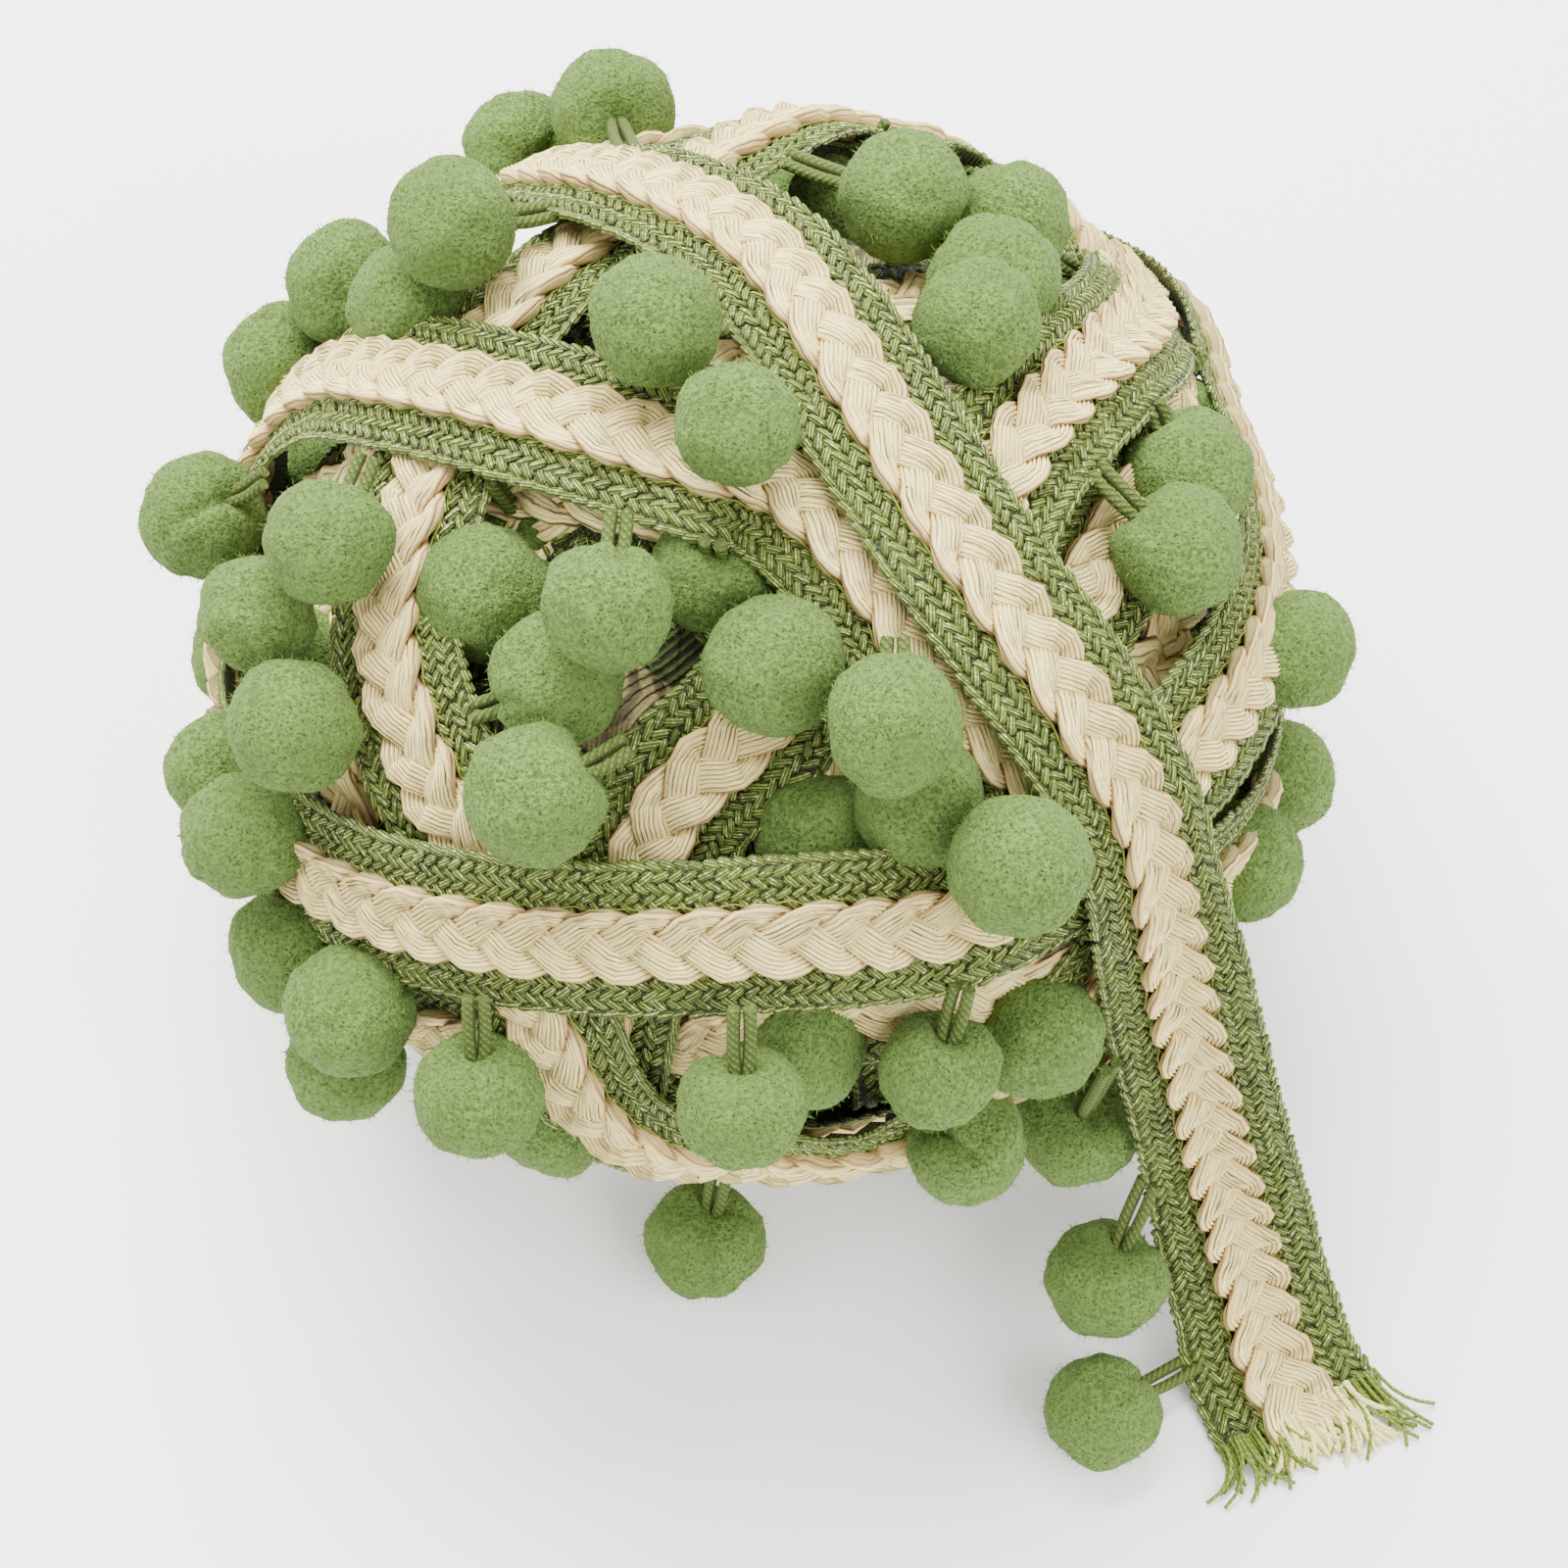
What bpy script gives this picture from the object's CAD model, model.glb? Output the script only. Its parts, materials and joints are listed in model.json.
"""A loose ball of pompom fringe trim with its cut end lying on the table.

The trim is a woven ground tape with a stitched braid along each edge, a
three-strand cotton plait down the middle, and felted pompoms hung from one
edge on looped cords. All lengths are metres; +Z is up.
"""

import json
import math

import bmesh
import bpy
import numpy as np
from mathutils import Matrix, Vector

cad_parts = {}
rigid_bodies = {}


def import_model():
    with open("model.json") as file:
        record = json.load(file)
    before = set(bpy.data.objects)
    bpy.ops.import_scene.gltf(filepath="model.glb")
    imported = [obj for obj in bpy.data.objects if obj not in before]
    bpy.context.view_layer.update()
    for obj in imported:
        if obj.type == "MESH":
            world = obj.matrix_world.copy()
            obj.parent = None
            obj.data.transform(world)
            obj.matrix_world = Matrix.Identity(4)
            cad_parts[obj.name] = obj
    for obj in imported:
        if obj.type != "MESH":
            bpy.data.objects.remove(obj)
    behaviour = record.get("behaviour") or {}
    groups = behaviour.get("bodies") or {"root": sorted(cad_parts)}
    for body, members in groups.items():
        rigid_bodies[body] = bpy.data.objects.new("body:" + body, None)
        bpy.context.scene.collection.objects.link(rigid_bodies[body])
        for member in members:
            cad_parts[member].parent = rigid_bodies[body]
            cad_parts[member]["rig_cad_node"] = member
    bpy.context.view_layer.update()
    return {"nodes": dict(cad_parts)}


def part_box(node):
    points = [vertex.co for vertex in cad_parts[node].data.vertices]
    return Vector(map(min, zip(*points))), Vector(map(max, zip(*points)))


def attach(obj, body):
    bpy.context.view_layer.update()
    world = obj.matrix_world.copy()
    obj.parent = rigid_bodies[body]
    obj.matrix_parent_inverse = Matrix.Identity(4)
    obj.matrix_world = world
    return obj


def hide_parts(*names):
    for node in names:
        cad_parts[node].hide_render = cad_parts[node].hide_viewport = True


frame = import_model()

bl_info = {
    "name": "Pompom Fringe Trim Ball",
    "version": (1, 0, 0),
    "blender": (4, 5, 0),
    "location": "View3D > Sidebar > Trim",
    "description": "Builds a wound ball of pompom fringe trim with its stage",
    "category": "Object",
}

MM = 0.001
SEED = 11

# Wound form: an ellipsoid through the middle of the outer turns
BALL_WIDE = 79 * MM
BALL_HIGH = 66 * MM
BALL_CENTRE_Z = 64.5 * MM
BALL_CENTRE = np.array([0.0, 0.0, BALL_CENTRE_Z])
BALL_RADII = np.array([BALL_WIDE, BALL_WIDE, BALL_HIGH])
UP = np.array([0.0, 0.0, 1.0])

# How turns lie on each other
PATH_STEP = 1.5 * MM
SPAN_STEPS = 10               # steps of a turn's curve between two of its rows
TRIM_STACK = 2.9 * MM         # a turn's rise over the one below it
STACK_NEAR = 13 * MM          # middle lines closer than this are fully on each other
STACK_FAR = 25 * MM           # and further than this they are side by side
SETTLE_LENGTH = 7 * MM
TABLE_CLEAR = 1.2 * MM
FACE_DOWN_CLEAR = 2.0 * MM    # more where a turn faces down, for its plait

# Rows: bearing (degrees from +X, anticlockwise from above), height (degrees up
# from the widest level) and lift of the turn's middle (mm). Each turn lies on
# those before it.
TURNS = {
    "base": [
        (0, -44, -2), (60, -48, -2), (120, -44, -2), (180, -48, -3), (240, -40, -2), (300, -44, -2),
        (360, -44, -2)],
    "under_a": [(25, -30, -3), (28, -50, 0), (40, -76, 2), (180, -82, 2), (200, -56, 0), (204, -34, -3)],
    "under_b": [(115, -30, -3), (112, -52, 0), (104, -74, 1), (-30, -84, 1), (-52, -60, 0), (-58, -34, -3)],
    "rear": [(12, -30, -2), (40, -4, 1), (68, 16, 2), (98, 28, 2), (126, 32, 1), (150, 24, -2)],
    "low": [
        (-205, -30, -2), (-160, -16, -2), (-130, 0, -2), (-112, 10, -3), (-80, 20, -5),
        (-45, 10, -4), (-20, -4, -2), (10, -16, -1), (50, -28, -1), (100, -36, -2), (150, -36, -3)],
    "side": [(66, 12, -3), (38, 26, -2), (14, 38, -3), (-9, 48, -4), (-34, 50, -6)],
    "inner": [
        (-128, -42, -3), (-116, -20, -3), (-108, 4, -5), (-106, 30, -6), (-102, 46, -6),
        (-91, 55, -6), (-70, 65, -5), (-37, 65, 1), (-4, 63, 3), (20, 50, 2), (31, 36, 0),
        (46, 12, 0), (66, -14, -1), (100, -46, -3)],
    "upright": [
        (-48, 12, -4), (-61, 2, -2), (-76, -11, -1), (-90, -8, -1), (-105, 6, -2), (-112, 20, -4),
        (-122, 32, -2), (-135, 39, 0), (-151, 46, 1), (-168, 54, 0), (-192, 58, -1), (-218, 60, 0),
        (-240, 58, -1), (-256, 52, 0), (-270, 42, 1), (-284, 24, 0), (-298, 4, -1), (-316, -18, -2),
        (-345, -38, -3)],
    "left": [
        (180, -45, -3), (172, -22, -1), (164, 0, 0), (161, 20, 1), (161, 38, 2), (167, 52, 3),
        (187, 71, 4), (245, 80, 4), (284, 78, 4), (300, 67, 3), (303, 54, 1), (311, 36, -1),
        (317, 15, -2), (319, -10, -1), (312, -38, -3)],
    "front": [
        (-196, -6, -4), (-168, 2, 0), (-150, 13, 1), (-130, 24, 4), (-108, 32, 5), (-87, 35, 5),
        (-67, 33, 4), (-49, 32, 2), (-31, 31, 3), (-7, 24, 1), (9, 19, 0), (45, 4, 0),
        (95, -14, 0), (140, -20, -1), (170, -18, -4)],
}
FREE_TURN_ON_BALL = [
    (137, -26, -6), (133, -8, -3), (128, 12, 0), (121, 32, 3), (117, 52, 5), (108, 66, 7),
    (90, 76, 8), (43, 83, 9), (-19, 80, 9), (-37, 73, 9), (-44, 62, 9), (-45, 48, 9), (-45, 34, 8.5)]
FREE_TURN_TO_END = [          # x, y, z (mm)
    (55.3, -57.8, 90), (59.9, -61.9, 69.5), (65.4, -67.6, 47), (70.3, -73.2, 27.5), (75, -80.4, 11),
    (78.7, -88.6, 2.2), (83.7, -98.5, 1.1)]
# Which way its face turns, by distance from the cut end: off the ball, then
# forwards where it hangs, then up where it lies
HANG_FACING = np.array([0.12, -0.78, 0.6])
HANG_FROM = 125 * MM
HANG_FULL = 80 * MM
LIE_FROM = 60 * MM
LIE_FULL = 15 * MM
SPLAY_FROM = 70 * MM          # its work loosens towards the cut end
SPLAY = 0.24
LOOSE_START = 4 * MM          # cut yarns come out of the work this far before its end
LOOSE_STEPS = 5
LOOSE_ARCH = 0.9 * MM
LOOSE_TIP = 0.4 * MM          # height of a yarn's tip over the table, before its arch
LOOSE_LOWEST = 0.3 * MM
GREEN_END_RADIUS = 0.30 * MM
COTTON_END_RADIUS = 0.45 * MM
# Rows of cut yarns: how many, from and to where across (mm), shortest and
# longest (mm), how far they fan out (degrees) at each edge of the row. Green
# ones are of both braids and between the strands
GREEN_ENDS = [
    (26, -13.6, -5.8, 2.0, 6.5, -16, 14), (20, 6.2, 13.4, 3.0, 9.5, 0, 30),
    (10, -5.4, -2.6, 1.5, 4.5, -5, 20), (12, 2.4, 6.4, 2.0, 6.0, -28, 4)]
COTTON_ENDS = [
    (34, -6.0, 0.0, 1.2, 4.8, -4, 8), (34, -0.6, 5.8, 1.2, 5.2, -2, 18), (18, 4.6, 8.6, 3.5, 7.0, 6, 24)]

# Buried turns, seen only through the hollows: great circles of the ball,
# given by the bearing and height of their axis and their lift (mm)
BURIED_TURNS = [(20, 5, -9.0), (75, 12, -8.0), (128, -8, -9.5), (-30, 48, -7.5), (150, 55, -8.5)]
BURIED_FROM = 28 * MM         # below this height nothing of them can be seen
CIRCLE_POINTS = 120

# Ground tape: its section as shares of its width and thickness
TAPE_SECTION = [
    (-0.5, 0.0), (-0.48, 0.4), (-0.25, 0.5), (0.0, 0.5), (0.25, 0.5), (0.48, 0.4),
    (0.5, 0.0), (0.48, -0.4), (0.25, -0.5), (0.0, -0.5), (-0.25, -0.5), (-0.48, -0.4)]
TAPE_INSET = 0.8 * MM         # it is narrower than the trim by this
TAPE_SINK = 0.35 * MM         # its middle lies below the turn's line
TAPE_SKIP = 2                 # it takes every second point of the line
WARP_PITCH = 0.9 * MM
WEFT_PITCH = 1.1 * MM

# Braid stitches
STITCH_LENGTH = 3.05 * MM
STITCH_HALF_WIDTH = 0.66 * MM
STITCH_HALF_HEIGHT = 0.52 * MM
STITCH_RINGS = [(-0.27, 1.0), (0.25, 0.96)]    # share of the length from the middle, share of the width
STITCH_SIDES = 4
STITCH_SLANT = math.radians(37)
STITCH_HEIGHT = 0.30 * MM
STITCH_STRAY = 0.12 * MM
EDGE_DROP = 0.45 * MM         # the outermost column rounds off the edge
BRAID_INSET = 0.6 * MM
BURIED_COLUMNS = 3
BURIED_COARSER = 1.5

# Plait strands
STRAND_YARNS = 8              # yarns side by side on a strand's face
STRAND_RIDGE = 0.20           # share of half the thickness that a yarn stands out
STRAND_STEP = 1.4 * MM
BURIED_STRAND_STEP = 2.2 * MM
STRAND_PINCH = 0.46           # share of the width lost where the swing is one
STRAND_ROLL = 0.55            # radians that a strand rolls there
TURN_SHARPNESS = 0.13         # share of a wave three times as quick, which points the lobes
PLAIT_LIFT = 0.92 * MM
PLAIT_HEIGHT = 0.9 * MM

# Binding threads, and the turns where they can be seen
BOUND_TURNS = ["front", "left", "upright", "inner", "side", "free"]
BINDING_BESIDE = 1.5 * MM
BINDING_HEIGHT = 0.75 * MM
BINDING_RADIUS = 0.17 * MM
THREAD_STRAY = 0.35 * MM

# Pieces of braid and of plait that hold several turns, and the frame's nodes
# that pieces stand for
TURN_GROUPS = {
    "ball_a": ["front", "left", "rear", "side"], "ball_b": ["upright", "inner"],
    "ball_c": ["base", "under_a", "under_b", "low"], "free": ["free"]}
NODES_OF = {"braid_free": ["fringe_braid", "edge_braid"], "plait_free": ["plait"]}

# The core's own turns: their two sides and their axis, then their size
CORE_AXES = np.array([[0.97, 0.0, -0.243], [-0.042, 0.985, -0.168], [0.239, 0.173, 0.955]])
CORE_BAND = 21 * MM
CORE_DEPTH = -13.5 * MM
CORE_RIDGE = 3.0 * MM
CORE_STITCHES = 210
CORE_LOBES = 57
CORE_LOWEST = 0.6 * MM

# Pompoms: dimple and crease as shares of the radius, and points along a side
# of the cube that each is rounded from
POMPOM_RADIUS = 9.0 * MM
POMPOM_DIMPLE = 0.32
POMPOM_CREASE = 0.17
POMPOM_DETAIL = 15
FIBRE_RADIUS = 0.075 * MM
CM2_IN_M2 = 10000.0

# Pompoms that belong to the shape but to no solid of the frame: bearing,
# height, lift of the centre (mm), radius (mm)
BURIED_POMPOMS = [
    (-163, 27, -6.6, 9.0), (-165, 62, -14, 9.0), (-80, 42.5, -9.4, 9.2), (-111, -5, -1, 8.8),
    (-85, 15, -4.2, 9.0), (88, 2, 3, 9.1), (70, -12, 1, 9.0), (108, -12, 2, 9.2), (128, -4, 3, 8.9),
    (152, -6, 3, 9.1), (40, -18, 2, 9.0), (172, -14, 3, 9.0), (10, -28, 3, 8.9), (-150, -30, 3, 9.0),
    (120, -30, 3, 9.1), (60, -34, 3, 9.0), (78, 33, -7, 8.8), (27, 20, -7, 8.6)]

# Feet of the loops that show: bearing, height, lift (mm), or x, y, z (mm)
FEET_ON_BALL = {
    "middle_b": (-124, 70, 13), "middle_f": (-108, 52, 11), "middle_g": (-66, 60, 13),
    "left_b": (-170, 54, 12), "front_a": (-117, 22, 9), "front_b": (-91, 29, 12),
    "front_c": (-69, 25, 6), "left_a": (173, 29, 3), "top_back_a": (108, 43, 4)}
FEET_CLEAR = {
    "low_a": (-5.5, -66, 24), "low_b": (50, -67.2, 62.6), "low_c": (57.2, -73.4, 35.5),
    "low_d": (65.5, -89.2, 5.4)}
LOOP_REACH = 24 * MM          # furthest a hidden loop reaches from its strip's edge
LOOP_CLEAR = 0.9              # and nearest, as a share of the pompom's radius
LOOP_IN_EDGE = 1.2 * MM
LOOP_IN_POMPOM = 0.62         # share of the radius where it ends
LOOP_BEND = 0.8 * MM
LOOP_SAG = 0.5 * MM
LOOP_STEPS = 4

# Colours of details that no setting holds
YARN_TIP = (0.78, 0.84, 0.34)
THREAD_COLOUR = (0.30, 0.34, 0.05)
LOOP_COLOUR = (0.105, 0.150, 0.028)
COTTON_GROOVE = (0.36, 0.23, 0.09)
COTTON_STAIN = (0.90, 0.66, 0.27)
COTTON_PALE = (1.0, 0.90, 0.47)
COTTON_UNDER = (0.50, 0.34, 0.15)
COTTON_EDGE = (0.55, 0.36, 0.15)
HUSK_SPECK = (0.10, 0.07, 0.04)
FELT_SHEEN = (0.62, 0.85, 0.30)

# Stage: a light's name, place, side of its square, power (W)
LIGHTS = [
    ("key", (-0.20, 0.50, 1.05), 0.85, 52.0), ("fill", (0.75, -0.65, 0.8), 0.9, 20.0),
    ("side", (-0.9, -0.3, 0.6), 0.7, 6.0)]
LIGHT_TARGET = Vector((0, 0, 0.06))
WORLD_STRENGTH = 1.52
TABLE_HALF = 3.0
TABLE_DROP = 0.2 * MM
CAMERA_PLACE = (0.0041, -0.2935, 0.5350)
CAMERA_TILT = math.radians(30.0)
CAMERA_LENS = 85.0            # mm
CAMERA_SENSOR = 36.0          # mm
CAMERA_REACH = 20.0


# ---------------------------------------------------------------- settings

class TrimSettings(bpy.types.PropertyGroup):
    """Sizes and colours of the trim itself."""

    trim_width: bpy.props.FloatProperty(
        name="Trim Width", description="Width of the tape across both braids",
        default=22.4 * MM, unit="LENGTH")
    tape_thickness: bpy.props.FloatProperty(
        name="Tape Thickness", description="Thickness of the woven ground tape",
        default=0.9 * MM, unit="LENGTH")
    stitch_pitch: bpy.props.FloatProperty(
        name="Stitch Pitch", description="Distance from one braid stitch to the next",
        default=1.95 * MM, unit="LENGTH")
    stitch_columns: bpy.props.IntProperty(
        name="Stitch Columns", description="Columns of stitches in each braid", default=5)
    column_spacing: bpy.props.FloatProperty(
        name="Column Spacing", description="Distance between columns of stitches",
        default=1.5 * MM, unit="LENGTH")
    lobe_pitch: bpy.props.FloatProperty(
        name="Plait Pitch", description="Distance from one lobe of the plait to the next",
        default=7.0 * MM, unit="LENGTH")
    plait_sweep: bpy.props.FloatProperty(
        name="Plait Sweep", description="How far a strand's middle swings to each side",
        default=3.15 * MM, unit="LENGTH")
    strand_width: bpy.props.FloatProperty(
        name="Strand Width", description="Width of one flattened strand of the plait",
        default=4.9 * MM, unit="LENGTH")
    strand_thickness: bpy.props.FloatProperty(
        name="Strand Thickness", description="Thickness of one strand of the plait",
        default=2.5 * MM, unit="LENGTH")
    braid_colour: bpy.props.FloatVectorProperty(
        name="Braid Colour", description="Colour of the braid yarn", subtype="COLOR", size=3,
        min=0.0, max=1.0, default=(0.168, 0.226, 0.034))
    plait_colour: bpy.props.FloatVectorProperty(
        name="Plait Colour", description="Colour of the cotton plait", subtype="COLOR", size=3,
        min=0.0, max=1.0, default=(1.0, 0.82, 0.33))


class PompomSettings(bpy.types.PropertyGroup):
    """Sizes and colours of the pompoms and their cords."""

    cord_radius: bpy.props.FloatProperty(
        name="Cord Radius", description="Radius of the looped cord that holds a pompom",
        default=0.9 * MM, unit="LENGTH")
    leg_gap: bpy.props.FloatProperty(
        name="Leg Gap", description="Distance between the two legs of a loop",
        default=2.05 * MM, unit="LENGTH")
    lumpiness: bpy.props.FloatProperty(
        name="Lumpiness", description="Unevenness of a pompom as a share of its radius",
        default=0.13, subtype="FACTOR", min=0.0, max=1.0)
    fibre_length: bpy.props.FloatProperty(
        name="Fibre Length", description="Length of the loose fibres on a pompom",
        default=1.5 * MM, unit="LENGTH")
    fibre_density: bpy.props.FloatProperty(
        name="Fibre Density", description="Loose fibres per square centimetre of felt",
        default=34.0)
    felt_colour: bpy.props.FloatVectorProperty(
        name="Felt Colour", description="Colour of the felted pompoms", subtype="COLOR", size=3,
        min=0.0, max=1.0, default=(0.099, 0.165, 0.037))


# ---------------------------------------------------------------- lines of the turns

def unit_of(bearing, height):
    """Unit vector of a bearing and a height in degrees."""
    b = math.radians(bearing)
    h = math.radians(height)
    return np.array([math.cos(h) * math.cos(b), math.cos(h) * math.sin(b), math.sin(h)])


def unit_rows(rows):
    """Rows of vectors at length one."""
    return rows / np.linalg.norm(rows, axis=1)[:, None]


def form_point(unit, lift):
    """Point of the wound form at a unit vector, raised by a lift."""
    normal = unit / BALL_RADII
    normal = normal / np.linalg.norm(normal)
    return BALL_CENTRE + BALL_RADII * unit + normal * lift


def placed_at(bearing, height, lift):
    """Point of the wound form at a bearing and height (degrees), raised by a lift (mm)."""
    return form_point(unit_of(bearing, height), lift * MM)


def smooth_line(points, steps):
    """Points of a Catmull-Rom curve, with a number of steps in each span."""
    points = [np.asarray(point, float) for point in points]
    line = []
    for i in range(len(points) - 1):
        before = points[max(i - 1, 0)]
        start = points[i]
        end = points[i + 1]
        after = points[min(i + 2, len(points) - 1)]
        for k in range(steps):
            t = k / steps
            line.append(0.5 * (2 * start + (end - before) * t
                               + (2 * before - 5 * start + 4 * end - after) * t * t
                               + (3 * start - before - 3 * end + after) * t ** 3))
    line.append(points[-1])
    return np.array(line)


def even_line(line, step):
    """The same line with points an even distance apart."""
    places = np.linalg.norm(np.diff(line[:, :3], axis=0), axis=1)
    along = np.concatenate([[0.0], np.cumsum(places)])
    count = max(int(round(along[-1] / step)), 2)
    wanted = np.linspace(0.0, along[-1], count + 1)
    return np.column_stack([np.interp(wanted, along, column) for column in line.T])


def spread(values, width):
    """A moving average along a line, with its ends held."""
    reach = max(int(round(width / PATH_STEP)), 1)
    weights = np.hanning(2 * reach + 3)[1:-1]
    padded = np.pad(values, reach, mode="edge")
    return np.convolve(padded, weights / weights.sum(), mode="valid")


def normals_at(points):
    """Outward directions of the wound form near points."""
    return unit_rows((points - BALL_CENTRE) / BALL_RADII ** 2)


def eased(value, low, high):
    """Share of the way from low to high, with soft ends."""
    share = np.clip((value - low) / (high - low), 0.0, 1.0)
    return share * share * (3 - 2 * share)


def turn_base(rows):
    """Middle line of a turn on the form itself, and the lift wanted at each point."""
    mixed = [np.append(unit_of(bearing, height), lift * MM) for bearing, height, lift in rows]
    line = smooth_line(mixed, SPAN_STEPS)
    units = unit_rows(line[:, :3])
    base = np.array([form_point(unit, 0.0) for unit in units])
    line = even_line(np.column_stack([base, line[:, 3]]), PATH_STEP)
    return line[:, :3], line[:, 3]


def circle_base(bearing, height, lift):
    """Middle line of a buried turn: a great circle about an axis."""
    axis = unit_of(bearing, height)
    side = np.cross(axis, UP)
    side /= np.linalg.norm(side)
    other = np.cross(axis, side)
    angles = np.linspace(0.0, 2 * math.pi, CIRCLE_POINTS)
    units = [side * math.cos(a) + other * math.sin(a) for a in angles]
    base = np.array([form_point(unit, 0.0) for unit in units])
    line = even_line(base, PATH_STEP)
    low = int(line[:, 2].argmin())
    line = np.roll(line, -low, axis=0)
    line = line[line[:, 2] > BURIED_FROM]
    return line, np.full(len(line), lift * MM)


def raise_over(base, lifts, below):
    """Lifts of a turn, raised where it passes over the turns below it."""
    need = lifts.copy()
    for other_base, other_lifts in below:
        away = np.linalg.norm(base[:, None, :] - other_base[None, :, :], axis=2)
        nearest = away.argmin(axis=1)
        share = eased(away.min(axis=1), STACK_FAR, STACK_NEAR)
        wanted = np.maximum(other_lifts[nearest] + TRIM_STACK, lifts)
        need = np.maximum(need, lifts + (wanted - lifts) * share)
    return np.maximum(spread(need, SETTLE_LENGTH), lifts)


def free_turn_base():
    """Middle line of the free turn as the frame has it, from behind the ball to its cut end."""
    points = [placed_at(*row) for row in FREE_TURN_ON_BALL]
    points += [np.array(point) * MM for point in FREE_TURN_TO_END]
    return even_line(smooth_line(points, SPAN_STEPS), PATH_STEP)


def to_end(line):
    """Distance of each point from the end of a line."""
    return PATH_STEP * np.arange(len(line) - 1, -1, -1)


def facing(line, along):
    """Outward direction of the free turn: off the ball at first, and up on the table."""
    on_ball = eased(to_end(line), HANG_FULL, HANG_FROM)[:, None]
    lying = 1.0 - eased(to_end(line), LIE_FULL, LIE_FROM)[:, None]
    mixed = normals_at(line) * on_ball + HANG_FACING * (1.0 - on_ball) * (1.0 - lying)
    mixed = mixed + UP * lying
    mixed -= along * np.sum(mixed * along, axis=1)[:, None]
    return unit_rows(mixed)


def with_frames(line, outward=None):
    """A line with its along and outward directions."""
    along = unit_rows(np.gradient(line, axis=0))
    if outward is None:
        outward = facing(line, along)
    outward = outward - along * np.sum(outward * along, axis=1)[:, None]
    return {"line": line, "along": along, "outward": unit_rows(outward), "breadth": np.ones(len(line))}


def wind_turns():
    """Every turn's line and frames: the buried ones, the wound ones and the free one."""
    below = []
    turns = {}
    for index, (bearing, height, lift) in enumerate(BURIED_TURNS):
        base, lifts = circle_base(bearing, height, lift)
        normals = normals_at(base)
        turns[f"buried_{index}"] = with_frames(base + normals * lifts[:, None], normals)
    for name, rows in TURNS.items():
        base, lifts = turn_base(rows)
        lifts = raise_over(base, lifts, below)
        below.append((base, lifts))
        normals = normals_at(base)
        line = base + normals * lifts[:, None]
        facing_down = np.clip(-normals[:, 2], 0.0, 1.0)
        line[:, 2] = np.maximum(line[:, 2], TABLE_CLEAR + FACE_DOWN_CLEAR * facing_down)
        turns[name] = with_frames(line, normals)
    free = with_frames(free_turn_base())
    free["breadth"] += SPLAY * (1.0 - eased(to_end(free["line"]), 0.0, SPLAY_FROM))
    turns["free"] = free
    return turns


def length_of(turn):
    """Length of a turn's line."""
    return float(np.linalg.norm(np.diff(turn["line"], axis=0), axis=1).sum())


def is_buried(name):
    return name.startswith("buried")


def groups_of(turns):
    """Names of the turns that each piece of braid or plait holds."""
    return {**TURN_GROUPS, "buried": [name for name in turns if is_buried(name)]}


# ---------------------------------------------------------------- meshes and joins

def new_mesh(name, verts, faces, uvs=None):
    mesh = bpy.data.meshes.new(name)
    mesh.from_pydata([tuple(v) for v in verts], [], faces)
    if uvs is not None:
        layer = mesh.uv_layers.new(name="UVMap")
        for loop in mesh.loops:
            layer.data[loop.index].uv = uvs[loop.vertex_index]
    mesh.shade_smooth()
    return mesh


def show(name, data):
    """A mesh, curve, light or camera in the scene, in place of an earlier one of its name."""
    old = bpy.data.objects.get(name)
    if old is not None and "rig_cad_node" not in old:
        bpy.data.objects.remove(old, do_unlink=True)
    item = bpy.data.objects.new(name, data)
    bpy.context.scene.collection.objects.link(item)
    return item


def path_object(name, turn):
    """The line of a turn as edges; each point has its outward direction, as long as its breadth."""
    line = turn["line"]
    mesh = bpy.data.meshes.new(name)
    mesh.from_pydata([tuple(p) for p in line], [(i, i + 1) for i in range(len(line) - 1)], [])
    layer = mesh.attributes.new("outward", "FLOAT_VECTOR", "POINT")
    carried = turn["outward"] * turn["breadth"][:, None]
    layer.data.foreach_set("vector", carried.astype(np.float32).ravel())
    return show(name, mesh)


def remove(*items):
    for item in items:
        bpy.data.objects.remove(item, do_unlink=True)


def grown(name, tree, values):
    """The mesh that a node tree makes, as a plain mesh with no modifier."""
    host = show(name + "_host", bpy.data.meshes.new(name + "_host"))
    modifier = host.modifiers.new("Nodes", "NODES")
    modifier.node_group = tree
    sockets = {item.name: item.identifier for item in tree.interface.items_tree
               if item.item_type == "SOCKET" and item.in_out == "INPUT"}
    for key, value in values.items():
        modifier[sockets[key]] = value
    bpy.context.view_layer.update()
    depsgraph = bpy.context.evaluated_depsgraph_get()
    mesh = bpy.data.meshes.new_from_object(host.evaluated_get(depsgraph), depsgraph=depsgraph)
    host.modifiers.remove(modifier)
    remove(host)
    if not mesh.polygons:
        raise RuntimeError(f"{name}: the node tree made no faces")
    return mesh


def grown_on(name, tree, turn, rows):
    """Meshes that a tree makes along a turn, one for each row of values."""
    path = path_object("path", turn)
    shared = {"Path": path, "Length": length_of(turn)}
    meshes = [grown(name, tree, {**shared, **values}) for values in rows]
    remove(path)
    return meshes


def joined(name, meshes):
    """Meshes as one piece."""
    if len(meshes) == 1:
        return show(name, meshes[0])
    parts = [show(f"{name}_part_{i}", mesh) for i, mesh in enumerate(meshes)]
    with bpy.context.temp_override(
            active_object=parts[0], object=parts[0], selected_objects=parts,
            selected_editable_objects=parts):
        bpy.ops.object.join()
    parts[0].name = name
    parts[0].data.name = name
    return parts[0]


def finish_piece(item, nodes=()):
    """Tie a piece to the frame."""
    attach(item, "root")
    if nodes:
        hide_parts(*nodes)


# ---------------------------------------------------------------- node trees

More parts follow.
